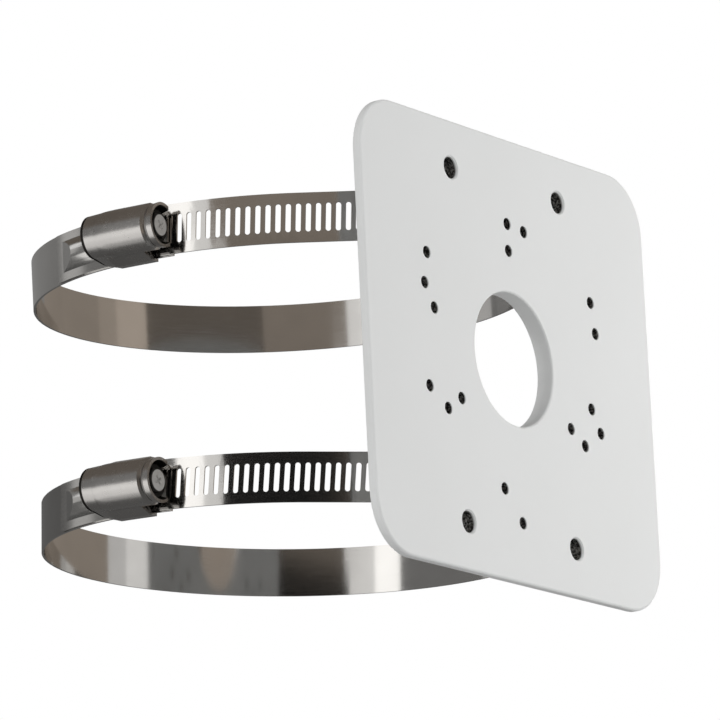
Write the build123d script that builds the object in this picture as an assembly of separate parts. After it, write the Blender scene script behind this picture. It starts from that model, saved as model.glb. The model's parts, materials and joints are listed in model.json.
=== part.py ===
"""Camera pole mount bracket.

A cast and powder coated plate carries the camera on its front. Two stainless worm drive clamps
run through the toothed jaws on its back and draw it against a pole.

Frame: +Z up along the pole, the plate's front face on y = 0 facing -Y, the pole behind it at +Y,
origin at the centre of the cable hole on the front face. Millimetres and degrees throughout.
"""
from build123d import *
from math import acos, atan2, cos, degrees, hypot, radians, sin, sqrt
import os

# Plate
plate_width = 134.6
plate_height = 123.0
plate_thickness = 5.2
plate_corner_radius = 15.5
plate_front_round = 0.8
plate_back_round = 0.4

# The plate is thin round its rim and stands up to its full thickness within
rim_thickness = 2.5
rim_width = 6.0
rim_slope = 30.0
rim_sunk = 0.5

# Cable hole in the middle of the plate
cable_hole_diameter = 36.8
cable_hole_round = 0.5

# Tapped holes for the camera's base: drill sizes, circles and rectangles
small_tap_diameter = 3.4
large_tap_diameter = 6.0
large_tap_chamfer = 0.4
inner_trio_circle = 60.0
middle_trio_circle = 75.0
outer_trio_circle = 90.0
quad_circle = 75.0
quad_turn = 12.0
small_rectangle_width = 81.2
small_rectangle_height = 28.0
large_rectangle_width = 51.0
large_tap_edge_distance = 13.2

# Jaws cast on the plate's back, one pair for each clamp
jaw_edge_distance = 13.6
jaw_inner_face = 32.0
jaw_thickness = 4.0
jaw_height = 23.0
jaw_corner_radius = 2.0
jaw_edge_round = 0.5
jaw_root_radius = 0.8
jaw_window_depth = 4.6
jaw_window_height = 17.6
jaw_tooth_pitch = 2.3
jaw_tooth_depth = 1.0
jaw_pole_clearance = 0.3
jaw_root_overlap = 1.0

# Clamp band
pole_diameter = 137.0
band_width = 13.5
band_thickness = 0.65
band_plate_clearance = 0.4
band_jaw_bend_radius = 8.0
tail_lift = 1.75
tail_corner_radius = 2.0
fixed_end_setback = 1.5

# Slots in the band that the worm's thread drives
slot_pitch = 2.7
slot_width = 1.4
slot_length = 7.8
slot_lean = -4.0
slot_tail_margin = 3.0
slots_past_near_arc = 11

# Strap under the housing, spot welded to the band's fixed end
strap_thickness = 0.6
strap_width = 13.0
strap_clearance = 0.05
strap_rear_reach = 35.0
strap_front_reach = 9.0
strap_corner_radius = 0.8

# Hump pressed into the strap behind the housing, which rises on a ramp and leaves room for the tail
hump_rear_reach = 31.5
hump_front_reach = 10.6
hump_half_width = 4.8
hump_height = 1.7
hump_ramp = 12.0
hump_tail_gap = 0.5

# Worm screw, measured along its axis from the middle of the housing, head end positive
worm_crest_radius = 5.1
worm_root_radius = 3.95
worm_band_clearance = 0.2
worm_thread_start = -6.9
worm_thread_end = 7.0
worm_crest_width = 0.7
worm_flank_spread = 0.45
thread_sunk = 0.15
journal_radius = 3.4
journal_clearance = 0.05
journal_end_clearance = 0.15
flange_radius = 4.4
flange_thickness = 0.5
hex_across_flats = 6.4
hex_height = 1.0
hex_face_diameter = 5.6
hex_chamfer_angle = 30.0
driver_cross_width = 0.7
driver_cross_length = 2.8
driver_cross_depth = 0.8
driver_cross_turn = 35.0
worm_nose_length = 3.4
worm_nose_radius = 2.6

# Housing, pressed from sheet: a barrel over the worm, a cup round its head, skirts on the band
sheet = 0.8
sheet_overlap = 0.3
worm_barrel_clearance = 0.4
housing_rear_end = -11.6
housing_front_end = 10.7
barrel_rear_radius = 5.1
barrel_taper_end = -4.5
barrel_front_round = 0.5
bearing_web_thickness = 1.1
neck_radius = 5.5
neck_width = 0.4
neck_slope = 0.35
cup_outer_radius = 5.9
cup_flare = 0.2
cup_head_clearance = 0.35
arch_drop = 3.0
skirt_start = -7.6
skirt_end = 4.0
skirt_band_clearance = 0.3
skirt_knee_drop = 5.0
skirt_pole_clearance = 0.45

# How each clamp hangs: side of the middle, how far it has slid up in its windows, its housing's place
# round the pole, and how far it sits askew
hangs = {
    "upper": {"side": 1, "slide": -0.28, "housing_angle": 183.7, "tilt": 0.8, "roll": -1.75},
    "lower": {"side": -1, "slide": -0.25, "housing_angle": 180.9, "tilt": 2.4, "roll": 0.0},
}

# How far a cutter runs past what it cuts, and how near a measured place has to be
past = 1.0
near_enough = 0.01

# Worked out from the sizes above
clamp_height = plate_height / 2 - jaw_edge_distance - jaw_height / 2
large_rectangle_height = plate_height - 2 * large_tap_edge_distance
pole_radius = pole_diameter / 2
band_flat = plate_thickness + band_plate_clearance + band_thickness
pole_centre = band_flat + pole_radius
worm_axis_lift = tail_lift + band_thickness + worm_band_clearance + worm_crest_radius
bearing_start = worm_thread_end + journal_end_clearance
bearing_end = bearing_start + bearing_web_thickness
flange_start = bearing_end + journal_end_clearance
hex_start = flange_start + flange_thickness
barrel_inner_radius = worm_crest_radius + worm_barrel_clearance
barrel_outer_radius = barrel_inner_radius + sheet
skirt_inner = band_width / 2 + skirt_band_clearance
skirt_outer = skirt_inner + sheet


def on_circle(diameter, angles):
    """Points on a circle round the cable hole, in the plate's x and z."""
    return [(diameter / 2 * cos(radians(a)), diameter / 2 * sin(radians(a))) for a in angles]


def on_rectangle(width, height):
    """The four corners of a rectangle round the cable hole."""
    return [(i * width / 2, j * height / 2) for i in (-1, 1) for j in (-1, 1)]


def small_tap_places():
    """Every small tapped hole: three trios, a turned four and a rectangle."""
    trio = (90, 210, 330)
    places = on_circle(inner_trio_circle, trio) + on_circle(middle_trio_circle, trio)
    places += on_circle(outer_trio_circle, [a + 180 for a in trio])
    places += on_circle(quad_circle, [a - quad_turn for a in (0, 90, 180, 270)])
    return places + on_rectangle(small_rectangle_width, small_rectangle_height)


def through_plate(x, z, radius):
    """A cutter right through the plate, from in front of its face to behind its back."""
    length = plate_thickness + 2 * past
    return facing_back(x, -past, z) * Cylinder(radius, length, align=(Align.CENTER, Align.CENTER, Align.MIN))


def facing_back(x, y, z):
    """A plane that faces the pole, for outlines that grow toward it."""
    return Plane(origin=(x, y, z), x_dir=(1, 0, 0), z_dir=(0, 1, 0))


def plate_blank():
    """The plate before its small holes: a thin rounded rim, a thicker middle and the cable hole."""
    outline = RectangleRounded(plate_width, plate_height, plate_corner_radius)
    plate = facing_back(0, 0, 0) * extrude(outline, rim_thickness)
    plate = fillet(plate.faces().sort_by(Axis.Y)[0].outer_wire().edges(), plate_front_round)
    plate = fillet(plate.faces().sort_by(Axis.Y)[-1].outer_wire().edges(), plate_back_round)
    middle = RectangleRounded(plate_width - 2 * rim_width, plate_height - 2 * rim_width,
                              plate_corner_radius - rim_width)
    start = rim_thickness - rim_sunk
    plate += facing_back(0, start, 0) * extrude(middle, plate_thickness - start, taper=rim_slope)
    plate -= through_plate(0, 0, cable_hole_diameter / 2)
    rims = plate.edges().filter_by(GeomType.CIRCLE)
    rims = [e for e in rims if abs(e.radius - cable_hole_diameter / 2) < near_enough]
    return fillet(rims, cable_hole_round)


def lug(side_x, side_z):
    """One cast lug on the plate's back, before the band's window and the pole's bite."""
    reach = pole_centre - sqrt(pole_radius**2 - (jaw_inner_face + jaw_thickness) ** 2)
    inner = side_x * jaw_inner_face - (jaw_thickness if side_x < 0 else 0)
    side = Plane(origin=(inner, 0, side_z * clamp_height), x_dir=(0, 1, 0), z_dir=(1, 0, 0))
    root = plate_thickness - jaw_root_overlap
    outline = Pos((root + reach) / 2, 0) * Rectangle(reach - root, jaw_height)
    outline = fillet(outline.vertices().group_by(Axis.X)[-1], jaw_corner_radius)
    block = side * extrude(outline, jaw_thickness)
    return fillet(block.edges().filter_by(Axis.Y), jaw_edge_round)


def cast_root(plate, side_x, side_z):
    """The plate with a fillet where one lug stands on it."""
    middle = (side_x * (jaw_inner_face + jaw_thickness / 2), plate_thickness, side_z * clamp_height)
    foot = plate.edges().filter_by(
        lambda e: abs(e.center().Y - plate_thickness) < near_enough
        and abs(e.center().X - middle[0]) < jaw_thickness / 2 + near_enough
        and abs(e.center().Z - middle[2]) < jaw_height / 2 + near_enough)
    return fillet(foot, jaw_root_radius)


def band_window(side_x, side_z):
    """The cutter for one lug's window, which the band runs through."""
    middle_x = side_x * (jaw_inner_face + jaw_thickness / 2)
    width = jaw_thickness + 2 * (jaw_root_radius + past)
    outline = RectangleRounded(width, jaw_window_height, jaw_edge_round)
    return facing_back(middle_x, plate_thickness, side_z * clamp_height) * extrude(outline, jaw_window_depth)


def pole_bite(side_z):
    """The pole's room at one pair of lugs, with a saw tooth edge that leaves their teeth standing."""
    face = pole_radius + jaw_pole_clearance
    teeth = round(jaw_height / jaw_tooth_pitch)
    start = side_z * clamp_height - teeth * jaw_tooth_pitch / 2
    edge = [(face, start - jaw_tooth_pitch)]
    for i in range(teeth):
        edge.append((face, start + i * jaw_tooth_pitch))
        edge.append((face + jaw_tooth_depth, start + (i + 0.5) * jaw_tooth_pitch))
    edge.append((face, start + teeth * jaw_tooth_pitch))
    edge.append((face, start + (teeth + 1) * jaw_tooth_pitch))
    outline = [(face / 2, edge[0][1])] + edge + [(face / 2, edge[-1][1])]
    profile = Plane.XZ * make_face(Polyline(*outline, close=True))
    return Pos(0, pole_centre, 0) * revolve(profile, Axis.Z)


def mounting_plate():
    """The cast plate with its four toothed jaws and all its tapped holes."""
    plate = plate_blank()
    corners = [(i, j) for i in (-1, 1) for j in (-1, 1)]
    for side_x, side_z in corners:
        plate += lug(side_x, side_z) - pole_bite(side_z)
        plate = cast_root(plate, side_x, side_z)
    plate -= [band_window(side_x, side_z) for side_x, side_z in corners]
    holes = [through_plate(x, z, small_tap_diameter / 2) for x, z in small_tap_places()]
    rim = large_tap_diameter / 2
    for x, z in on_rectangle(large_rectangle_width, large_rectangle_height):
        holes.append(through_plate(x, z, rim))
        holes.append(facing_back(x, 0, z) * Cone(rim + large_tap_chamfer, rim, large_tap_chamfer,
                                                 align=(Align.CENTER, Align.CENTER, Align.MIN)))
    return plate - holes


def wrap_angle(bend_centre, bend_radius, round_centre, round_radius):
    """Angle at which a straight run touches both a bend and the larger round, seen from above."""
    away = (bend_centre[0] - round_centre[0], bend_centre[1] - round_centre[1])
    spread = degrees(acos((round_radius - bend_radius) / hypot(*away)))
    return degrees(atan2(away[1], away[0])), spread


def band_arcs(housing_angle):
    """The band's four arcs in order, as centre, inner radius, first and last angle.

    From the fixed end it runs clockwise round the pole's far side, bends flat behind the plate
    between the two jaws, and comes back round the near side to its slotted tail.
    """
    pole = (0, pole_centre)
    lift = radians(housing_angle)
    near = (tail_lift * cos(lift), pole_centre + tail_lift * sin(lift))
    bend_y = band_flat + band_jaw_bend_radius
    bend_x = jaw_inner_face - jaw_thickness / 2
    right, left = (bend_x, bend_y), (-bend_x, bend_y)
    toward_right, spread_right = wrap_angle(right, band_jaw_bend_radius, pole, pole_radius)
    toward_left, spread_left = wrap_angle(left, band_jaw_bend_radius, near, pole_radius)
    leave = toward_right + spread_right
    meet = toward_left - spread_left
    fixed_end = housing_angle + degrees((strap_front_reach - fixed_end_setback) / pole_radius)
    tail_end = housing_angle - 360 - degrees((hump_front_reach - hump_tail_gap) / pole_radius)
    return [
        (pole, pole_radius, fixed_end, leave),
        (right, band_jaw_bend_radius, leave, -90),
        (left, band_jaw_bend_radius, -90, meet),
        (near, pole_radius, meet, tail_end),
    ]


def at_angle(centre, radius, angle):
    return (centre[0] + radius * cos(radians(angle)), centre[1] + radius * sin(radians(angle)))


def band_side(arcs, offset):
    """Edges of one face of the band: its arcs and the straight runs that join them."""
    edges = []
    last = None
    for centre, radius, first, final in arcs:
        start = at_angle(centre, radius + offset, first)
        if last:
            edges.append(Line(last, start))
        edges.append(CenterArc(centre, radius + offset, first, final - first))
        last = at_angle(centre, radius + offset, final)
    return edges, at_angle(arcs[0][0], arcs[0][1] + offset, arcs[0][2]), last


def band(housing_angle):
    """The band, with the slots along its near side and the corners of its tail rounded."""
    arcs = band_arcs(housing_angle)
    inner, inner_start, inner_end = band_side(arcs, 0)
    outer, outer_start, outer_end = band_side(arcs, band_thickness)
    ends = [Line(inner_start, outer_start), Line(inner_end, outer_end)]
    strip = extrude(make_face(inner + outer + ends), band_width / 2, both=True)
    tail = strip.edges().filter_by(
        lambda e: (e.center() - Vector(*inner_end, e.center().Z)).length < 2 * band_thickness
        and abs(abs(e.center().Z) - band_width / 2) < near_enough and e.length < 2 * band_thickness)
    strip = fillet(tail, tail_corner_radius)
    return strip - slots(arcs)


def slots(arcs):
    """Cutters for the leaning slots, evenly spaced from the tail along the near arc."""
    centre, radius, meet, tail_end = arcs[-1]
    step = degrees(slot_pitch / (radius + band_thickness))
    first = tail_end + degrees(slot_tail_margin / radius)
    count = int((meet - first) / step) + slots_past_near_arc
    cutters = []
    for i in range(count):
        angle = min(first + i * step, meet)
        beyond = radians(first + i * step - angle) * radius
        place = Pos(centre[0], centre[1], 0) * Rot(0, 0, angle) * Pos(radius + band_thickness / 2, beyond, 0)
        outline = Plane.YZ * SlotOverall(slot_length, slot_width, rotation=90 + slot_lean)
        cutters.append(place * extrude(outline, 2 * band_thickness, both=True))
    return cutters


def round_sector(inner, thickness, width, start, end):
    """A strip that lies round the pole, from one reach along it to another."""
    first = degrees(start / inner)
    sweep_angle = degrees((end - start) / inner)
    arcs = [CenterArc((0, 0), r, first, sweep_angle) for r in (inner, inner + thickness)]
    ends = [Line(arcs[0] @ k, arcs[1] @ k) for k in (0, 1)]
    return extrude(make_face(arcs + ends), width / 2, both=True)


def strap():
    """The strap that joins housing and band: full width inside the housing, narrower elsewhere."""
    inner = pole_radius + band_thickness + strap_clearance
    full = 2 * skirt_inner
    piece = round_sector(inner, strap_thickness, full, -strap_rear_reach, strap_front_reach)
    trim_width = full - strap_width
    trim = round_sector(inner - past, strap_thickness + 2 * past, trim_width,
                        -strap_rear_reach - past, skirt_start)
    for side in (-1, 1):
        piece -= Pos(0, 0, side * (strap_width + trim_width) / 2) * trim
    corners = piece.edges().filter_by(
        lambda e: e.length < 2 * strap_thickness and abs(abs(e.center().Z) - strap_width / 2) < near_enough)
    corners = corners.sort_by(Axis.Y)[:2]
    piece = fillet(corners, strap_corner_radius)
    return piece + hump(0) - hump(strap_thickness)


def hump(shrink):
    """The strap's hump as a full shape, or, shrunk by the sheet, the hollow under it."""
    base = pole_radius + band_thickness + strap_clearance - (past if shrink else 0)
    crown = pole_radius + band_thickness + strap_clearance + strap_thickness + hump_height - shrink
    half = hump_half_width - shrink
    arch = ThreePointArc((base, -half), (crown, 0), (base, half))
    section = Plane.XZ * make_face([arch, Line(arch @ 1, arch @ 0)])
    first = degrees(-hump_rear_reach / base)
    length = hump_rear_reach - hump_front_reach + (past if shrink else 0)
    body = Rot(0, 0, first) * revolve(section, Axis.Z, degrees(length / base))
    foot = Rot(0, 0, first) * Pos(crown - hump_height, 0, 0) * Rot(0, 0, -hump_ramp)
    room = 2 * (hump_rear_reach - hump_front_reach)
    return body - foot * Box(room, room, room, align=(Align.MIN, Align.CENTER, Align.CENTER))


def worm_place():
    """The worm's axis: along +Y beside the pole, head forward, its own X pointing outward."""
    return Pos(pole_radius + worm_axis_lift, 0, 0) * Rot(-90, 0, 0)


def worm_screw():
    """The worm: a thread on its core, a journal in the housing's web, a flange and a hex head."""
    core = [
        (0, worm_thread_start - worm_nose_length),
        (worm_nose_radius, worm_thread_start - worm_nose_length),
        (worm_root_radius, worm_thread_start),
        (worm_root_radius, worm_thread_end),
        (journal_radius, worm_thread_end),
        (journal_radius, flange_start),
        (flange_radius, flange_start),
        (flange_radius, hex_start),
        (0, hex_start),
    ]
    body = revolve(Plane.XZ * make_face(Polyline(*core, close=True)), Axis.Z)
    body += worm_thread()
    body += worm_head()
    return worm_place() * body


def worm_thread():
    """The thread: one trapezoid carried along a helix."""
    base = worm_root_radius - thread_sunk
    half_root = worm_crest_width / 2 + worm_flank_spread
    turn_length = worm_thread_end - worm_thread_start - 2 * half_root
    start = worm_thread_start + half_root
    helix = Pos(0, 0, start) * Helix(slot_pitch, turn_length, base)
    tooth = Plane(origin=helix @ 0, x_dir=(1, 0, 0), z_dir=helix % 0) * make_face(Polyline(
        (0, -half_root), (worm_crest_radius - base, -worm_crest_width / 2),
        (worm_crest_radius - base, worm_crest_width / 2), (0, half_root), close=True))
    return sweep(tooth, path=helix, is_frenet=True)


def worm_head():
    """The hexagon with its corners turned off to a round face, and the driver's cross sunk in it."""
    corner = hex_across_flats / sqrt(3)
    top = hex_start + hex_height
    hexagon = Pos(0, 0, hex_start) * extrude(RegularPolygon(corner, 6), hex_height)
    drop = (corner - hex_face_diameter / 2) * sin(radians(hex_chamfer_angle))
    turned = revolve(Plane.XZ * make_face(Polyline(
        (0, hex_start), (corner, hex_start), (corner, top - drop),
        (hex_face_diameter / 2, top), (0, top), close=True)), Axis.Z)
    head = hexagon & turned
    for turn in (0, 90):
        head -= Pos(0, 0, top) * Rot(0, 0, driver_cross_turn + turn) * Box(
            driver_cross_length, driver_cross_width, 2 * driver_cross_depth)
    return head


def housing():
    """The pressed housing: barrel that closes in to the rear, bearing web, cup round the head and skirts."""
    neck = bearing_end
    outer = Polyline(
        (barrel_outer_radius, barrel_taper_end),
        (barrel_outer_radius, neck - neck_slope - barrel_front_round),
        (barrel_outer_radius - barrel_front_round, neck - neck_slope),
        (neck_radius, neck),
        (neck_radius, neck + neck_width),
        (cup_outer_radius, neck + neck_width + neck_slope),
        (cup_outer_radius + cup_flare, housing_front_end))
    inner = Polyline(
        (cup_outer_radius + cup_flare - sheet, housing_front_end),
        (flange_radius + cup_head_clearance, bearing_end),
        (journal_radius + journal_clearance, bearing_end),
        (journal_radius + journal_clearance, bearing_start),
        (barrel_inner_radius, bearing_start),
        (barrel_inner_radius, barrel_taper_end))
    backward = (0, -1)
    rear_outer = TangentArc(outer @ 0, (barrel_rear_radius, housing_rear_end), tangent=backward)
    rear_inner = TangentArc(inner @ 1, (barrel_rear_radius - sheet, housing_rear_end), tangent=backward)
    ends = [Line(outer @ 1, inner @ 0), Line(rear_outer @ 1, rear_inner @ 1)]
    arch = revolve(Plane.XZ * make_face([outer, inner, rear_outer, rear_inner] + ends), Axis.Z)
    room = 4 * barrel_outer_radius
    below = Pos(-arch_drop, 0, 0) * Box(
        room, room, 2 * room, align=(Align.MAX, Align.CENTER, Align.CENTER))
    shell = arch - below
    for side in (-1, 1):
        shell += skirt(side)
    return worm_place() * shell


def skirt(side):
    """One skirt: from the arch's edge outward to a knee, then down past the band's edge to a flat foot."""
    start_x = -arch_drop + sheet_overlap
    outer_y = sqrt(barrel_outer_radius**2 - start_x**2)
    inner_y = sqrt(barrel_inner_radius**2 - start_x**2)
    foot = skirt_pole_clearance - worm_axis_lift
    points = [
        (start_x, outer_y), (-skirt_knee_drop + sheet / 2, skirt_outer), (foot, skirt_outer),
        (foot, skirt_inner), (-skirt_knee_drop, skirt_inner), (start_x, inner_y),
    ]
    section = make_face(Polyline(*[(x, side * y) for x, y in points], close=True))
    return Pos(0, 0, skirt_start) * extrude(section, skirt_end - skirt_start)


def hang(shape, name):
    """A clamp's piece, moved from the pole's middle height to where that clamp hangs."""
    seat = hangs[name]
    pivot = band_flat
    height = seat["side"] * clamp_height + seat["slide"]
    turn = Pos(0, pivot, height) * Rot(seat["tilt"], seat["roll"], 0)
    return turn * Pos(0, -pivot, 0) * shape


def round_the_pole(shape, name):
    """A piece built beside the pole at angle zero, turned to the clamp's housing angle."""
    return hang(Pos(0, pole_centre, 0) * Rot(0, 0, hangs[name]["housing_angle"]) * shape, name)


def build():
    parts = {"mounting_plate": mounting_plate()}
    for name, seat in hangs.items():
        parts[name + "_clamp_band"] = hang(band(seat["housing_angle"]), name)
        parts[name + "_clamp_strap"] = round_the_pole(strap(), name)
        parts[name + "_worm_housing"] = round_the_pole(housing(), name)
        parts[name + "_worm_screw"] = round_the_pole(worm_screw(), name)
    return parts


if __name__ == "__main__":
    os.makedirs("parts", exist_ok=True)
    for node, shape in build().items():
        export_step(shape, "parts/" + node + ".step")
        print(node, "volume", round(shape.volume, 1))
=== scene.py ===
# %% [markdown]
# # Camera pole mount bracket
#
# The object is a cast, powder coated plate that a security camera is screwed to. Behind it two stainless
# worm drive clamps go round a pole. The solids come from CAD and keep their places. This lesson gives them
# their finishes, adds the screw threads that are too fine for the solids and the thin sides of the clamps'
# housings, and lights the whole as in a product photograph: white all round, with dark and pale cards that
# the polished steel can reflect.

# %% Load the fixed frame
import json
import math
from functools import partial

import bpy
from mathutils import Matrix, Vector


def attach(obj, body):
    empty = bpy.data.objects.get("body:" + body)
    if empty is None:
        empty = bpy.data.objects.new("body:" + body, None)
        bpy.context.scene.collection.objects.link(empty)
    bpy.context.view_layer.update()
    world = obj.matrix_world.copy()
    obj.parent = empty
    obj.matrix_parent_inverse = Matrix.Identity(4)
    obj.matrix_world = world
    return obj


MM = 0.001
CLAMPS = ("upper", "lower")

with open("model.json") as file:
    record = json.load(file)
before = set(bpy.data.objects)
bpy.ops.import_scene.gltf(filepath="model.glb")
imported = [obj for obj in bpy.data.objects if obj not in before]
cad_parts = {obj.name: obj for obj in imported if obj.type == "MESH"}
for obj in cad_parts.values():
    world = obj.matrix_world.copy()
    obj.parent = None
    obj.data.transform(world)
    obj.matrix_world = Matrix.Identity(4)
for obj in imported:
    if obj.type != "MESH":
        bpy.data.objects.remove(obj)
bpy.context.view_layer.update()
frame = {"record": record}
mounts = {m["name"]: m for m in frame["record"]["mounts"]}
screw_joints = {j["name"]: j for j in frame["record"]["behaviour"]["joints"]}


# %% [markdown]
# ## The camera
#
# The photograph was taken from the plate's left and from a little below, with a long lens, so that the far
# side of each loop is hardly smaller than the near side. A camera in Blender looks along its own -Z. We could
# aim it with a Track To constraint, but a few named angles and one matrix say exactly where it stands.

# %% Place the camera
AZIMUTH, ELEVATION, ROLL = (math.radians(a) for a in (-55.04, -13.66, -2.77))
DISTANCE = 1740.4 * MM
SHIFT_RIGHT, SHIFT_UP = -41.34 * MM, -0.22 * MM
LENS_MM, SENSOR_MM = 325.0, 36.0
FARTHEST = 20.0

back = Vector((math.sin(AZIMUTH) * math.cos(ELEVATION), -math.cos(AZIMUTH) * math.cos(ELEVATION),
               math.sin(ELEVATION)))
right = Vector((0, 0, 1)).cross(back).normalized()
upward = back.cross(right)
right, upward = (math.cos(ROLL) * right + math.sin(ROLL) * upward,
                 -math.sin(ROLL) * right + math.cos(ROLL) * upward)

camera = bpy.data.objects.new("camera", bpy.data.cameras.new("camera"))
camera.data.lens, camera.data.sensor_width = LENS_MM, SENSOR_MM
camera.data.clip_end = FARTHEST
camera.matrix_world = Matrix.Translation(back * DISTANCE + right * SHIFT_RIGHT + upward * SHIFT_UP) @ Matrix(
    (right, upward, back)).transposed().to_4x4()
bpy.context.scene.collection.objects.link(camera)
bpy.context.scene.camera = camera
print("camera stands at", [round(v, 3) for v in camera.matrix_world.translation])

# %% [markdown]
# ## Small helpers
#
# Each finish below is a Principled BSDF with a few nodes in front of it. Adding nodes by hand is wordy, so
# one helper makes any node and fills in its inputs, and a few more make the kinds that come up again and
# again. Numbers that are the same all over a surface go straight into the shader's own sockets.

# %% Make nodes, materials and pieces
def add_node(tree, kind, settings=None, **inputs):
    """A new node in a tree. Settings are its properties. An input is a value, or a socket to link from."""
    node = tree.nodes.new(kind)
    for name, value in (settings or {}).items():
        setattr(node, name, value)
    for name, value in inputs.items():
        key = int(name[1:]) if name[0] == "i" and name[1:].isdigit() else name.replace("_", " ")
        if isinstance(value, bpy.types.NodeSocket):
            tree.links.new(value, node.inputs[key])
        else:
            node.inputs[key].default_value = value
    return node


def numbered(values):
    """Inputs that are given by their order."""
    return {"i%d" % i: value for i, value in enumerate(values)}


def calculate(tree, operation, *values, clamp=False):
    """The result of one Math node."""
    settings = {"operation": operation, "use_clamp": clamp}
    return add_node(tree, "ShaderNodeMath", settings, **numbered(values)).outputs[0]


def vector_math(tree, operation, *values, **inputs):
    """The outputs of one Vector Math node: Vector and Value."""
    settings = {"operation": operation}
    return add_node(tree, "ShaderNodeVectorMath", settings, **numbered(values), **inputs).outputs


def rescale(tree, value, old, new, kind="LINEAR"):
    """A value carried from an old range to a new one, and held at its ends."""
    return add_node(tree, "ShaderNodeMapRange", {"interpolation_type": kind}, Value=value,
                    From_Min=old[0], From_Max=old[1], To_Min=new[0], To_Max=new[1]).outputs["Result"]


def blend(tree, mask, first, second):
    """Two colours mixed by a mask. Each is a socket, or red, green and blue."""
    first, second = (c if isinstance(c, bpy.types.NodeSocket) else (*c, 1) for c in (first, second))
    return add_node(tree, "ShaderNodeMix", {"data_type": "RGBA"}, i0=mask, i6=first, i7=second).outputs[2]


def object_place(tree):
    return add_node(tree, "ShaderNodeTexCoord").outputs["Object"]


def feed(tree, inputs, **sockets):
    """Link results to the inputs of a shader, or of a group's end."""
    for name, socket in sockets.items():
        tree.links.new(socket, inputs[name.replace("_", " ")])


def new_material(name, **shader_values):
    """A material and its Principled BSDF, with the values that are the same all over."""
    material = bpy.data.materials.new(name)
    material.use_nodes = True
    shader = material.node_tree.nodes["Principled BSDF"]
    for key, value in shader_values.items():
        shader.inputs[key.replace("_", " ")].default_value = value
    return material, material.node_tree, shader


def new_group(name, inputs, outputs):
    """A shader node group. Each side is a dict from a socket's name to its kind."""
    group = bpy.data.node_groups.new(name, "ShaderNodeTree")
    for side, sockets in (("INPUT", inputs), ("OUTPUT", outputs)):
        for socket_name, kind in sockets.items():
            group.interface.new_socket(name=socket_name, in_out=side, socket_type="NodeSocket" + kind)
    start, end = group.nodes.new("NodeGroupInput"), group.nodes.new("NodeGroupOutput")
    return group, start.outputs, end.inputs


def place_group(tree, group, **inputs):
    """The outputs of a group that is placed in a material with its own values."""
    return add_node(tree, "ShaderNodeGroup", {"node_tree": group}, **inputs).outputs


def dress(material, node_name):
    """Give a CAD node its finish."""
    mesh = bpy.data.objects[node_name].data
    mesh.materials.clear()
    mesh.materials.append(material)


def new_object(name, points, faces, material):
    """A mesh object made from points and faces."""
    mesh = bpy.data.meshes.new(name)
    mesh.from_pydata(points, [], faces)
    mesh.materials.append(material)
    obj = bpy.data.objects.new(name, mesh)
    bpy.context.scene.collection.objects.link(obj)
    return obj


# %% [markdown]
# ## Grain of rolled steel, as a node group
#
# Stainless strip is rolled and then polished along its length, so its fine lines run round the loop. A noise
# stretched along a straight axis would cross the strip where it curves. Instead the group measures a point by
# its way round the pole, its height and its distance from the pole's axis, and stretches the noise along the
# first of these. It puts out the lines as a mask, and a normal with the lines pressed into it.

# %% Build the groups
CLOUDS_PER_METRE = 90.0


def make_grain_group():
    """Lines and soft clouds as masks, and a normal with the lines in it."""
    group, ins, outs = new_group(
        "steel_grain",
        {"Along": "Vector", "Lines per mm": "Float", "Stretch": "Float", "Depth": "Float"},
        {"Lines": "Float", "Clouds": "Float", "Normal": "Vector"})
    add = partial(add_node, group)
    per_metre = calculate(group, "MULTIPLY", ins["Lines per mm"], 1 / MM)
    shrink = calculate(group, "DIVIDE", per_metre, ins["Stretch"])
    scale = add("ShaderNodeCombineXYZ", X=shrink, Y=per_metre, Z=per_metre).outputs[0]
    stretched = vector_math(group, "MULTIPLY", ins["Along"], scale)["Vector"]
    lines = add("ShaderNodeTexNoise", Vector=stretched, Scale=1.0, Detail=3.0, Roughness=0.6).outputs["Fac"]
    clouds = add("ShaderNodeTexNoise", Vector=ins["Along"], Scale=CLOUDS_PER_METRE, Detail=2.0, Roughness=0.5)
    bump = add("ShaderNodeBump", Strength=1.0, Height=lines, Distance=ins["Depth"])
    feed(group, outs, Lines=lines, Clouds=clouds.outputs["Fac"], Normal=bump.outputs["Normal"])
    return group


def make_round_pole_group():
    """Turns a point into its way round the pole, its height and its distance from the pole's axis."""
    group, ins, outs = new_group("round_the_pole", {"Pole Y": "Float"}, {"Along": "Vector"})
    parts = add_node(group, "ShaderNodeSeparateXYZ", Vector=object_place(group)).outputs
    x, y = parts["X"], calculate(group, "SUBTRACT", parts["Y"], ins["Pole Y"])
    turn = calculate(group, "ARCTAN2", y, x)
    away = calculate(group, "SQRT", calculate(group, "MULTIPLY_ADD", y, y, calculate(group, "MULTIPLY", x, x)))
    length = calculate(group, "MULTIPLY", turn, away)
    along = add_node(group, "ShaderNodeCombineXYZ", X=length, Y=parts["Z"], Z=away)
    feed(group, outs, Along=along.outputs[0])
    return group


def make_screw_axis_group():
    """Measures a point along a screw's axis, and away from it."""
    group, ins, outs = new_group("along_the_screw", {"Middle": "Vector", "Axis": "Vector"},
                                 {"Along": "Float", "Away": "Float"})
    reach = vector_math(group, "SUBTRACT", object_place(group), ins["Middle"])["Vector"]
    along = vector_math(group, "DOT_PRODUCT", reach, ins["Axis"])["Value"]
    foot = vector_math(group, "SCALE", ins["Axis"], Scale=along)["Vector"]
    aside = vector_math(group, "SUBTRACT", reach, foot)["Vector"]
    feed(group, outs, Along=along, Away=vector_math(group, "LENGTH", aside)["Value"])
    return group


grain_group = make_grain_group()
round_pole_group = make_round_pole_group()
screw_axis_group = make_screw_axis_group()
print("node groups:", [g.name for g in bpy.data.node_groups])

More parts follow.
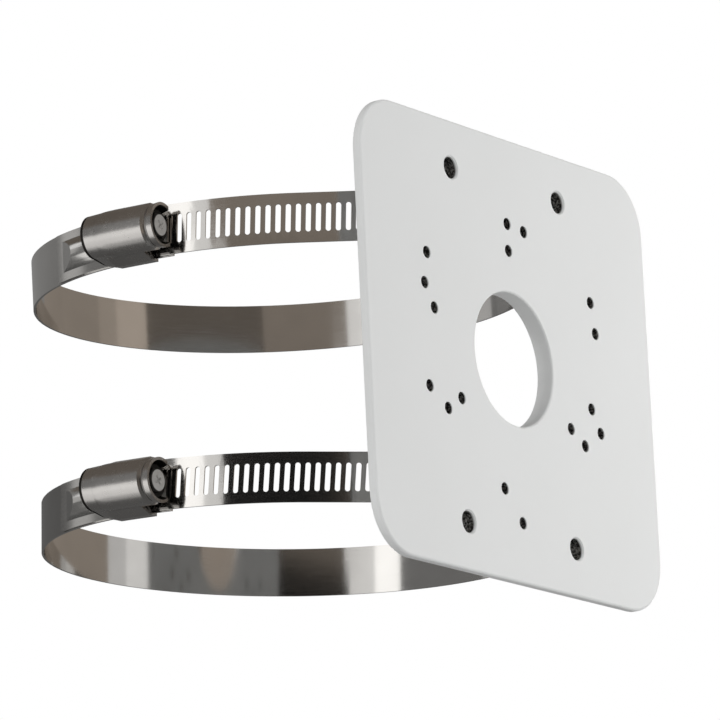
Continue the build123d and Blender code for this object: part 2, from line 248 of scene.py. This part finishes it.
# %% [markdown]
# ## Polished strip and pressed steel
#
# Four steel finishes share the grain. The bands are close to a mirror. The strap behind the housing was
# polished with the band but stands up a little and is duller. The housing was pressed and tumbled, which
# leaves a silky surface. The screw's plating is paler and duller, so it counts as metal only in part. Only
# their values differ, so one function makes them all.
#
# Shade is painted into the cup round each screw's head: a near black colour where the deep recess lies in
# shadow, so that the head's face looks like a bright coin in a black ring. A point's place along the screw's
# axis, and away from it, tells where the painted shade lies. Each mask below is a product of soft steps, and a
# step is given by two places: where it starts, and where it is full.

# %% Make the steel finishes
POLE_Y = mounts["upper_pole_clamp"]["pos_m"][1]
MOST_OF_A_NOISE = (0.3, 0.7)
CLOUD_STRENGTH = 0.08
# Painted shade: a near black colour and a duller gloss, for recesses and edges that lie in shadow
PAINTED_SHADE_COLOUR, PAINTED_SHADE_ROUGHNESS = (0.035, 0.033, 0.03), 0.6

BAND = {"colour": (0.60, 0.59, 0.575), "roughness": 0.10, "spread": 0.03,
        "lines_per_mm": 9.0, "stretch": 60.0, "depth_mm": 0.0004, "round_pole": True}
STRAP = {"colour": (0.60, 0.59, 0.575), "roughness": 0.17, "spread": 0.04,
         "lines_per_mm": 7.0, "stretch": 40.0, "depth_mm": 0.0006, "round_pole": True}
HOUSING = {"colour": (0.57, 0.555, 0.54), "roughness": 0.26, "spread": 0.02,
           "lines_per_mm": 0.5, "stretch": 6.0, "depth_mm": 0.0003}
SCREW = {"colour": (0.85, 0.84, 0.82), "roughness": 0.34, "spread": 0.04,
         "lines_per_mm": 2.5, "stretch": 2.0, "depth_mm": 0.0006, "metallic": 0.55}

# Soft steps of the painted shade, in millimetres along a screw's axis, or away from it
CUP_FLOOR, CUP_LIP, CUP_WALL = (8.0, 8.2), (10.66, 10.4), (5.6, 5.4)
FLANGE, HEAD_FACE = (8.2, 8.35), (2.75, 2.95)
SIDES_REAR = -11.9
# The painted shadow line at the sides' rear edge: where it starts and where it is full, in front of that edge
REAR_EDGE = (SIDES_REAR + 0.95, SIDES_REAR + 0.75)


def steel(name, colour, roughness, spread, lines_per_mm, stretch, depth_mm, round_pole=False, metallic=1.0,
          painted_shade=None):
    """A steel finish: grain lines in its roughness and normal, and faint clouds in its colour. A mask, if
    given, paints shade into its colour.
    """
    material, tree, shader = new_material(name, Metallic=metallic)
    if round_pole:
        along = place_group(tree, round_pole_group, Pole_Y=POLE_Y)["Along"]
    else:
        along = object_place(tree)
    grain = place_group(tree, grain_group, Along=along, Lines_per_mm=lines_per_mm, Stretch=stretch,
                        Depth=depth_mm * MM)
    rough = rescale(tree, grain["Lines"], MOST_OF_A_NOISE, (roughness - spread, roughness + spread))
    darker, paler = ([c * k for c in colour] for k in (1 - CLOUD_STRENGTH, 1 + CLOUD_STRENGTH))
    shade = blend(tree, grain["Clouds"], darker, paler)
    # Painted shade: where the mask is, the colour goes to near black and the gloss goes duller
    if painted_shade:
        mask = painted_shade(tree)
        shade = blend(tree, mask, shade, PAINTED_SHADE_COLOUR)
        rough = add_node(tree, "ShaderNodeMix", {"data_type": "FLOAT"}, i0=mask, i2=rough,
                         i3=PAINTED_SHADE_ROUGHNESS).outputs[0]
    feed(tree, shader.inputs, Roughness=rough, Base_Color=shade, Normal=grain["Normal"])
    return material


def place_on_axis(tree, side):
    joint = screw_joints[side + "_screw_turn"]
    return place_group(tree, screw_axis_group, Middle=joint["pos_m"], Axis=joint["axis"])


def soft_step(tree, value, step):
    """A mask that goes from 0 to 1 between two places, given in millimetres."""
    return rescale(tree, value, [place * MM for place in step], (0.0, 1.0), "SMOOTHSTEP")


def cup_painted_shade(side, tree):
    """Painted shade inside the housing's cup, where the recess lies in shadow, but not on its lip."""
    at = place_on_axis(tree, side)
    within_cup = calculate(tree, "MULTIPLY", soft_step(tree, at["Along"], CUP_FLOOR),
                           soft_step(tree, at["Along"], CUP_LIP))
    return calculate(tree, "MULTIPLY", within_cup, soft_step(tree, at["Away"], CUP_WALL))


def head_painted_shade(side, tree):
    """Painted shade on the flange and on the sides of the screw's head, deep in the cup, but not on its face.
    """
    at = place_on_axis(tree, side)
    return calculate(tree, "MULTIPLY", soft_step(tree, at["Along"], FLANGE),
                     soft_step(tree, at["Away"], HEAD_FACE))


def rear_edge_painted_shade(side, tree):
    """A painted shadow line along the sheared rear edge of the housing's sides."""
    return soft_step(tree, place_on_axis(tree, side)["Along"], REAR_EDGE)


band_steel = steel("polished_band_steel", **BAND)
strap_steel = steel("polished_strap_steel", **STRAP)
for side in CLAMPS:
    dress(band_steel, side + "_clamp_band")
    dress(strap_steel, side + "_clamp_strap")
    # Each housing's cup and each screw's head get painted shade where they lie in shadow
    dress(steel(side + "_housing_steel", painted_shade=partial(cup_painted_shade, side), **HOUSING), side + "_worm_housing")
    dress(steel(side + "_screw_steel", painted_shade=partial(head_painted_shade, side), **SCREW), side + "_worm_screw")

# %% [markdown]
# ## Sides of the housings
#
# The real housing is an arch of sheet: its sides run down to the strap all the way back, and its rear edge
# shows as a tall dark crescent of shade, which a painted shadow line on the skin's rear edge helps to give. The
# CAD barrel is round behind. A skin closes that difference. It is a grid of points: rows go along the screw's
# axis, and each row is one cross section. A point of a section is given by how far it is out from the pole and
# how far it is to the side. Both ways come from the clamp's own directions, so the skin leans with its clamp.

# %% Fit the sides over the CAD housings
# Places along the screw's axis, in millimetres: the rear sides meet the front panels in the middle
SIDES_MIDDLE, SIDES_FRONT = -7.6, 4.0
ROWS = 8

# The CAD barrel's radius at its straight part and at its rear end, and where it starts to close in
BARREL_RADIUS, BARREL_REAR_RADIUS = 6.3, 5.1
TAPER_START, TAPER_LENGTH = -4.5, 7.1

# The skin's distance from the barrel, and how much further in the arch and the walls go at the rear, where a
# lip turns in to a share of the section's size
SKIN, ARCH_SHRINK, WALL_SHRINK, LIP_SCALE = 0.02, 0.25, 1.27, 0.9
ARCH_STEPS, ARCH_STEP_DEGREES = 12, 7.5

# Places out from the screw's axis and to the side, in millimetres. The strap bends away with the pole
STRAP_OUT, KNEE_OUT, WALL_TOP_OUT = -6.2, -4.6, -2.3
KNEE_ASIDE = 7.87
POLE_DIAMETER_MM = 140
PANEL_TOP_OUT, PANEL_MIDDLE = -0.2, (-2.4, 7.09)
PANEL_INNER = [(PANEL_TOP_OUT, 6.2), (-2.0, 6.0), (KNEE_OUT, 7.5)]


def clamp_directions(side):
    """The screw's middle, and the ways along the screw, out from the pole and to the side."""
    joint, pole = screw_joints[side + "_screw_turn"], mounts[side + "_pole_clamp"]
    middle, along, pole_axis = (Vector(v) for v in (joint["pos_m"], joint["axis"], pole["axis"]))
    out = middle - Vector(pole["pos_m"])
    out = (out - pole_axis * out.dot(pole_axis)).normalized()
    return middle, along, out, along.cross(out)


def barrel_radius(along):
    """The CAD barrel's radius, which shrinks on an arc behind its straight part."""
    share = max(0.0, TAPER_START - along) / TAPER_LENGTH
    return BARREL_RADIUS - (BARREL_RADIUS - BARREL_REAR_RADIUS) * share ** 2


def arch_section(along):
    """The rear sides: up one wall, over the arch and down the other wall."""
    back = (SIDES_MIDDLE - along) / (SIDES_MIDDLE - SIDES_REAR)
    radius = barrel_radius(SIDES_MIDDLE) + SKIN - ARCH_SHRINK * back
    strap_top = STRAP_OUT - along ** 2 / POLE_DIAMETER_MM
    spread = KNEE_ASIDE - WALL_SHRINK * back
    wall = [(strap_top, spread), (KNEE_OUT, spread), (WALL_TOP_OUT, (radius + spread) / 2)]
    turns = [math.radians(ARCH_STEP_DEGREES * i) for i in range(-ARCH_STEPS, ARCH_STEPS + 1)]
    arch = [(radius * math.cos(a), radius * math.sin(a)) for a in turns]
    return [(out, -aside) for out, aside in wall] + arch + [(out, aside) for out, aside in reversed(wall)]


def lip_section():
    """The rear edge's inner line, which gives the skin the look of thick sheet from behind."""
    return [(out if out < 0 else out * LIP_SCALE, aside * LIP_SCALE) for out, aside in arch_section(SIDES_REAR)]


def panel_section(along):
    """One front side: from the barrel down to the skirt's knee."""
    return [(PANEL_TOP_OUT, barrel_radius(along) + SKIN), PANEL_MIDDLE, (KNEE_OUT, KNEE_ASIDE)]


def between(start, end):
    return [start + (end - start) * i / ROWS for i in range(ROWS + 1)]


def add_grid(rows, points, faces):
    """Rows of points joined by four sided faces."""
    first, width = len(points), len(rows[0])
    for row in rows:
        points.extend(row)
    for i in range(len(rows) - 1):
        for j in range(width - 1):
            corner = first + i * width + j
            faces.append((corner, corner + 1, corner + width + 1, corner + width))


def housing_sides(side):
    """The skin over one housing, as one piece."""
    middle, along_way, out_way, side_way = clamp_directions(side)

    def row(along, section, hand=1):
        return [middle + (along_way * along + out_way * out + side_way * (hand * aside)) * MM
                for out, aside in section]

    points, faces = [], []
    add_grid([row(SIDES_REAR, lip_section()), row(SIDES_REAR, arch_section(SIDES_REAR))], points, faces)
    add_grid([row(a, arch_section(a)) for a in between(SIDES_REAR, SIDES_MIDDLE)], points, faces)
    for hand in (-1, 1):
        add_grid([row(a, panel_section(a), hand) for a in between(SIDES_MIDDLE, SIDES_FRONT)], points, faces)
        add_grid([row(SIDES_FRONT, section, hand) for section in (panel_section(SIDES_FRONT), PANEL_INNER)],
                 points, faces)
    # The sides get a painted shadow line along their rear edge
    finish = steel(side + "_housing_sides_steel", painted_shade=partial(rear_edge_painted_shade, side), **HOUSING)
    piece = new_object(side + "_housing_sides", points, faces, finish)
    piece.data.shade_smooth()
    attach(piece, "bracket")


for side in CLAMPS:
    housing_sides(side)

# %% [markdown]
# ## Powder coat
#
# The plate is white with a touch of grey. Powder melts into a skin that is smooth but never flat: it has a
# low orange peel about a millimetre across and a much finer speckle. Both are heights, so both go through
# Bump nodes. The speckle also changes the gloss a little from place to place.

# %% Make the powder coat
PEEL_PER_METRE, SPECKLE_PER_METRE, PATCHES_PER_METRE = 900.0, 4200.0, 28.0
PEEL_HEIGHT, SPECKLE_HEIGHT = 0.02 * MM, 0.006 * MM
COAT_ROUGHNESS = (0.44, 0.58)
COAT_DARKER, COAT_PALER = (0.715, 0.722, 0.715), (0.745, 0.752, 0.748)


def powder_coat():
    material, tree, shader = new_material("white_powder_coat", Metallic=0.0, Specular_IOR_Level=0.3)
    noise = partial(add_node, tree, "ShaderNodeTexNoise", Vector=object_place(tree))
    peel = noise(Scale=PEEL_PER_METRE, Detail=1.0).outputs["Fac"]
    speckle = noise(Scale=SPECKLE_PER_METRE, Detail=2.0).outputs["Fac"]
    patches = noise(Scale=PATCHES_PER_METRE, Detail=2.0).outputs["Fac"]
    low = add_node(tree, "ShaderNodeBump", Strength=0.6, Distance=PEEL_HEIGHT, Height=peel)
    fine = add_node(tree, "ShaderNodeBump", Strength=0.5, Distance=SPECKLE_HEIGHT, Height=speckle,
                    Normal=low.outputs["Normal"])
    feed(tree, shader.inputs, Base_Color=blend(tree, patches, COAT_DARKER, COAT_PALER),
         Roughness=rescale(tree, speckle, MOST_OF_A_NOISE, COAT_ROUGHNESS), Normal=fine.outputs["Normal"])
    return material


dress(powder_coat(), "mounting_plate")

# %% [markdown]
# ## Cut threads in the holes
#
# The CAD holes are plain bores. In the real plate each one is tapped, and the tap takes the paint off the
# wall. Here each bore gets a thin threaded lining: a tube of points whose radius rises and falls along a helix.
# One turn of the helix is one step of the thread. The lining starts a little below the face and its crests
# stand a fraction of a millimetre into the bore, as real threads do. Its metal is coloured near black, as
# painted shade of the deep bore, with paler streaks as painted glints.

# %% Line the holes with threads
TRIO, TURNED_FOUR = (90, 210, 330), (78, 168, 258, 348)
INNER_CIRCLE, MIDDLE_CIRCLE, OUTER_CIRCLE = 60, 75, 90
SMALL_RECTANGLE, LARGE_RECTANGLE = (81.2, 28), (51.0, 96.6)
AROUND, ROWS_PER_TURN = 20, 4
ROOT_INSET, CREST_SHARE = 0.01, 0.3
METAL_STREAKS_PER_METRE = 1500.0
# Painted shade of the bore, and the paler colour of the painted glints on its thread
PAINTED_BORE_SHADE, BRIGHT = (0.05, 0.05, 0.05), (0.55, 0.55, 0.54)


def on_circle(diameter, angles):
    turns = [math.radians(a) for a in angles]
    return [(diameter / 2 * math.cos(a), diameter / 2 * math.sin(a)) for a in turns]


def on_rectangle(width, height):
    return [(i * width / 2, j * height / 2) for i in (-1, 1) for j in (-1, 1)]


# Each piece's holes, the bore's radius, the thread's pitch, and where the thread starts and ends in depth
THREADS = {
    "small_threads": (on_circle(INNER_CIRCLE, TRIO) + on_circle(MIDDLE_CIRCLE, TRIO)
                      + on_circle(OUTER_CIRCLE, [a + 180 for a in TRIO]) + on_circle(MIDDLE_CIRCLE, TURNED_FOUR)
                      + on_rectangle(*SMALL_RECTANGLE), 1.7, 0.7, 0.25, 5.1),
    "large_threads": (on_rectangle(*LARGE_RECTANGLE), 3.0, 1.0, 0.6, 5.1),
}


def thread_lining(name, holes, radius, pitch, start, end, material):
    """One piece with a threaded tube in each hole. All sizes are in millimetres."""
    rows = round((end - start) / pitch * ROWS_PER_TURN)
    root, crest = radius - ROOT_INSET, radius - CREST_SHARE * pitch
    points, faces = [], []
    for x, z in holes:
        first = len(points)
        for row in range(rows + 1):
            depth = start + (end - start) * row / rows
            for i in range(AROUND):
                phase = (depth / pitch - i / AROUND) % 1
                r = crest + (root - crest) * abs(2 * phase - 1)
                a = 2 * math.pi * i / AROUND
                points.append(((x + r * math.cos(a)) * MM, depth * MM, (z + r * math.sin(a)) * MM))
        for row in range(rows):
            for i in range(AROUND):
                low, high = first + row * AROUND, first + (row + 1) * AROUND
                j = (i + 1) % AROUND
                faces.append((low + i, low + j, high + j, high + i))
    piece = new_object(name, points, faces, material)
    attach(piece, "bracket")


def cut_metal():
    """Bare metal as a tap leaves it, coloured near black as painted shade of the deep bore, with fine paler
    streaks round the bore as painted glints.
    """
    material, tree, shader = new_material("cut_thread_metal", Metallic=1.0)
    streaks = add_node(tree, "ShaderNodeTexNoise", Vector=object_place(tree), Scale=METAL_STREAKS_PER_METRE,
                       Detail=2.0).outputs["Fac"]
    glint = rescale(tree, streaks, (0.42, 0.66), (0.0, 1.0))
    feed(tree, shader.inputs, Base_Color=blend(tree, glint, PAINTED_BORE_SHADE, BRIGHT),
         Roughness=rescale(tree, streaks, MOST_OF_A_NOISE, (0.45, 0.65)))
    return material


thread_metal = cut_metal()
for piece_name, sizes in THREADS.items():
    thread_lining(piece_name, *sizes, thread_metal)
    print(piece_name, "in", len(sizes[0]), "holes")

# %% [markdown]
# ## White surroundings and a pale floor
#
# The photograph has a white ground. A strong light behind the object would wash it out, so the white is a
# colour: the world shows full white to the camera, and to rays that metal or glass reflects or lets through.
# All other rays meet a calmer light, which is brighter on the camera's side and dim behind the plate, as in a
# studio where the big lamps stand with the photographer. The floor lies well below, because the camera looks
# up. To the camera and to reflections it glows pale and keeps the object's shadow, but it doesn't throw that
# glow back up.

# %% Build the world and the floor
WORLD_LEVEL, WORLD_SLOPE = 0.40, 0.45
CAMERA_SIDE = (-0.6, -0.8, 0.0)
WHITE = (1, 1, 1, 1)
FLOOR_Z, FLOOR_HALF = -0.62, 6.0
FLOOR_COLOUR, FLOOR_GLOW = (0.86, 0.86, 0.86, 1), 0.52


def seen_by(tree, *kinds):
    """A mask that is 1 for the kinds of ray that are named."""
    path = add_node(tree, "ShaderNodeLightPath").outputs
    seen = path["Is %s Ray" % kinds[0]]
    for kind in kinds[1:]:
        seen = calculate(tree, "MAXIMUM", seen, path["Is %s Ray" % kind])
    return seen


def studio_world():
    """White for what looks at it, and a light that grows towards the camera's side for everything else."""
    world = bpy.data.worlds.new("studio_world")
    world.use_nodes = True
    tree = world.node_tree
    tree.nodes.clear()
    white = add_node(tree, "ShaderNodeBackground", Color=WHITE, Strength=1.0)
    way = add_node(tree, "ShaderNodeTexCoord").outputs["Generated"]
    towards = vector_math(tree, "DOT_PRODUCT", way, Vector(CAMERA_SIDE).normalized())["Value"]
    level = calculate(tree, "MULTIPLY_ADD", towards, WORLD_SLOPE, WORLD_LEVEL, clamp=True)
    soft = add_node(tree, "ShaderNodeBackground", Color=WHITE, Strength=level)
    mix = add_node(tree, "ShaderNodeMixShader", i0=seen_by(tree, "Camera", "Glossy", "Transmission"),
                   i1=soft.outputs[0], i2=white.outputs[0])
    add_node(tree, "ShaderNodeOutputWorld", Surface=mix.outputs[0])
    bpy.context.scene.world = world


def stage_mesh(name, points, faces, material):
    obj = new_object(name, points, faces, material)
    return obj


def floor_material():
    material, tree, shader = new_material("pale_floor", Roughness=0.9, Base_Color=FLOOR_COLOUR,
                                          Emission_Color=WHITE)
    glow = calculate(tree, "MULTIPLY", seen_by(tree, "Camera", "Glossy"), FLOOR_GLOW)
    feed(tree, shader.inputs, Emission_Strength=glow)
    return material


studio_world()
floor_corners = [(x * FLOOR_HALF, y * FLOOR_HALF, FLOOR_Z) for x, y in ((-1, -1), (1, -1), (1, 1), (-1, 1))]
stage_mesh("floor", floor_corners, [(0, 1, 2, 3)], floor_material())

# %% [markdown]
# ## Cards for the steel to reflect
#
# Polished steel has hardly any look of its own: it shows what stands round it. A photographer stands dark
# flags and pale reflectors round such a thing, just outside the picture. Here they are curved panels round
# the pole's axis, each glowing at one level. Only reflections see them, so they neither light nor shade the
# plate. The strips look out level and the camera looks up at them, so they mirror what stands some 0.3 m
# above the object's middle. The black flag stands close by and ends low, so that only the lower loop mirrors
# it, and the far side of that loop sees over its top.
#
# An edge of a card is a radius and a height. A wall card has one radius and two heights, and a level card has
# one height and two radii, so one function makes both.

# %% Stand the cards round the object
CARD_RADIUS, FLAG_RADIUS = 1.3, 0.33
CARD_LOW, CARD_HIGH, FLAG_TOP = -0.55, 0.85, 0.036
REFLECTOR_TOP, BAND_SPLIT, FAR_SPLIT = -0.03, 0.25, 0.32
UNDERFOOT_NEAR, UNDERFOOT_FAR = 0.36, 0.60
WALL_STEP, LEVEL_STEP = 3, 5
NEUTRAL, WARM = (1.0, 0.99, 0.975), (1.0, 0.86, 0.73)

# Two directions in degrees, two heights, the level and its tint
WALL_CARDS = {
    "card_right": (316, 346, CARD_LOW, CARD_HIGH, 0.31, WARM),
    "card_far_right": (346, 370, CARD_LOW, CARD_HIGH, 0.30, WARM),
    "card_behind": (370, 455, FAR_SPLIT, CARD_HIGH, 0.25, NEUTRAL),
    "card_behind_low": (370, 455, CARD_LOW, FAR_SPLIT, 0.12, NEUTRAL),
    "card_behind_left": (95, 100, CARD_LOW, CARD_HIGH, 0.20, NEUTRAL),
    "reflector_behind_left": (100, 116, 0.15, 0.50, 0.55, NEUTRAL),
    "card_behind_left_low": (100, 116, CARD_LOW, 0.15, 0.16, NEUTRAL),
    "card_left": (116, 165, REFLECTOR_TOP, CARD_HIGH, 0.20, NEUTRAL),
    "reflector_left_low": (116, 165, CARD_LOW, REFLECTOR_TOP, 1.10, NEUTRAL),
    "reflector_left": (165, 178, CARD_LOW, CARD_HIGH, 1.60, NEUTRAL),
    "reflector_left_front": (178, 186, CARD_LOW, CARD_HIGH, 0.95, NEUTRAL),
    "reflector_left_front_low": (186, 193, CARD_LOW, BAND_SPLIT, 0.95, NEUTRAL),
    "card_behind_flag": (193, 226.5, CARD_LOW, BAND_SPLIT, 0.17, WARM),
    "card_above_flag": (186, 226.5, BAND_SPLIT, CARD_HIGH, 0.26, WARM),
    "card_front": (226.5, 286, BAND_SPLIT, CARD_HIGH, 0.13, WARM),
    "card_front_low": (226.5, 240, CARD_LOW, BAND_SPLIT, 0.15, WARM),
    "card_through_cable_hole": (240, 262, CARD_LOW, BAND_SPLIT, 0.36, WARM),
    "card_front_right_low": (262, 286, CARD_LOW, BAND_SPLIT, 0.15, WARM),
    "reflector_front_right": (286, 304, CARD_LOW, BAND_SPLIT, 0.92, NEUTRAL),
    "reflector_front_right_high": (286, 304, BAND_SPLIT, CARD_HIGH, 0.50, WARM),
    "reflector_right": (304, 316, CARD_LOW, BAND_SPLIT, 0.66, NEUTRAL),
    "reflector_right_high": (304, 316, BAND_SPLIT, CARD_HIGH, 0.38, WARM),
}

# Two directions in degrees, two radii, the height, the level and its tint
LEVEL_CARDS = {
    "card_overhead": (0, 360, 0.0, CARD_RADIUS, CARD_HIGH, 0.14, WARM),
    "card_underfoot": (170, 472, 0.0, CARD_RADIUS, CARD_LOW, 0.11, NEUTRAL),
    "card_underfoot_left": (112, 170, 0.0, UNDERFOOT_NEAR, CARD_LOW, 0.25, NEUTRAL),
    "reflector_underfoot_near": (112, 170, UNDERFOOT_NEAR, UNDERFOOT_FAR, CARD_LOW, 0.50, NEUTRAL),
    "reflector_underfoot_far": (112, 170, UNDERFOOT_FAR, CARD_RADIUS, CARD_LOW, 0.95, NEUTRAL),
}


def card_material(name, level, tint):
    material = bpy.data.materials.new(name)
    material.use_nodes = True
    tree = material.node_tree
    tree.nodes.clear()
    glow = add_node(tree, "ShaderNodeEmission", Color=(*tint, 1), Strength=level)
    add_node(tree, "ShaderNodeOutputMaterial", Surface=glow.outputs[0])
    return material


def card(name, start, end, step, edges, level, tint):
    """A panel round the pole's axis that reflections see and nothing else does."""
    steps = max(2, round((end - start) / step))
    points = []
    for i in range(steps + 1):
        a = math.radians(start + (end - start) * i / steps)
        points += [(radius * math.cos(a), POLE_Y + radius * math.sin(a), height) for radius, height in edges]
    faces = [(2 * i, 2 * i + 2, 2 * i + 3, 2 * i + 1) for i in range(steps)]
    obj = stage_mesh(name, points, faces, card_material(name, level, tint))
    obj.visible_camera = obj.visible_diffuse = obj.visible_shadow = False
    obj.visible_transmission = obj.visible_volume_scatter = False


def wall_card(name, start, end, low, high, level, tint, radius=CARD_RADIUS):
    card(name, start, end, WALL_STEP, ((radius, low), (radius, high)), level, tint)


def level_card(name, start, end, near, far, height, level, tint):
    card(name, start, end, LEVEL_STEP, ((near, height), (far, height)), level, tint)


for card_name, values in WALL_CARDS.items():
    wall_card(card_name, *values)
wall_card("flag_camera_side", 189, 225.5, CARD_LOW, FLAG_TOP, 0.010, NEUTRAL, radius=FLAG_RADIUS)
for card_name, values in LEVEL_CARDS.items():
    level_card(card_name, *values)
print("cards:", len(WALL_CARDS) + len(LEVEL_CARDS), "and one flag")

# %% [markdown]
# ## Soft lamps
#
# Two soft lamps lift the plate above the grey of the world and give its edges a direction. The front lamp
# stands close, in front and to the plate's right. The left lamp stands far off, nearly in the plate's own
# plane, so it lights the plate's left edge and the walls of its holes rather than its face. Reflections don't
# see either of them, so the steel keeps the picture that the cards give it.

# %% Hang the lamps
def soft_lamp(name, direction, distance, size, power):
    lamp = bpy.data.objects.new(name, bpy.data.lights.new(name, "AREA"))
    lamp.data.shape = "DISK"
    lamp.data.size = size
    lamp.data.energy = power
    away = Vector(direction).normalized()
    lamp.location = away * distance
    lamp.rotation_mode = "QUATERNION"
    lamp.rotation_quaternion = away.to_track_quat("Z", "Y")
    lamp.visible_glossy = False
    bpy.context.scene.collection.objects.link(lamp)


soft_lamp("front_lamp", direction=(0.9, -1.0, 0.1), distance=0.72, size=0.5, power=3.0)
soft_lamp("left_lamp", direction=(-1.0, 0.03, 0.25), distance=2.2, size=0.4, power=12.0)

# %% [markdown]
# ## Finish
#
# The view transform is set to Standard, so that a colour shows as it was written.

# %% Set the view transform
bpy.context.scene.view_settings.view_transform = "Standard"
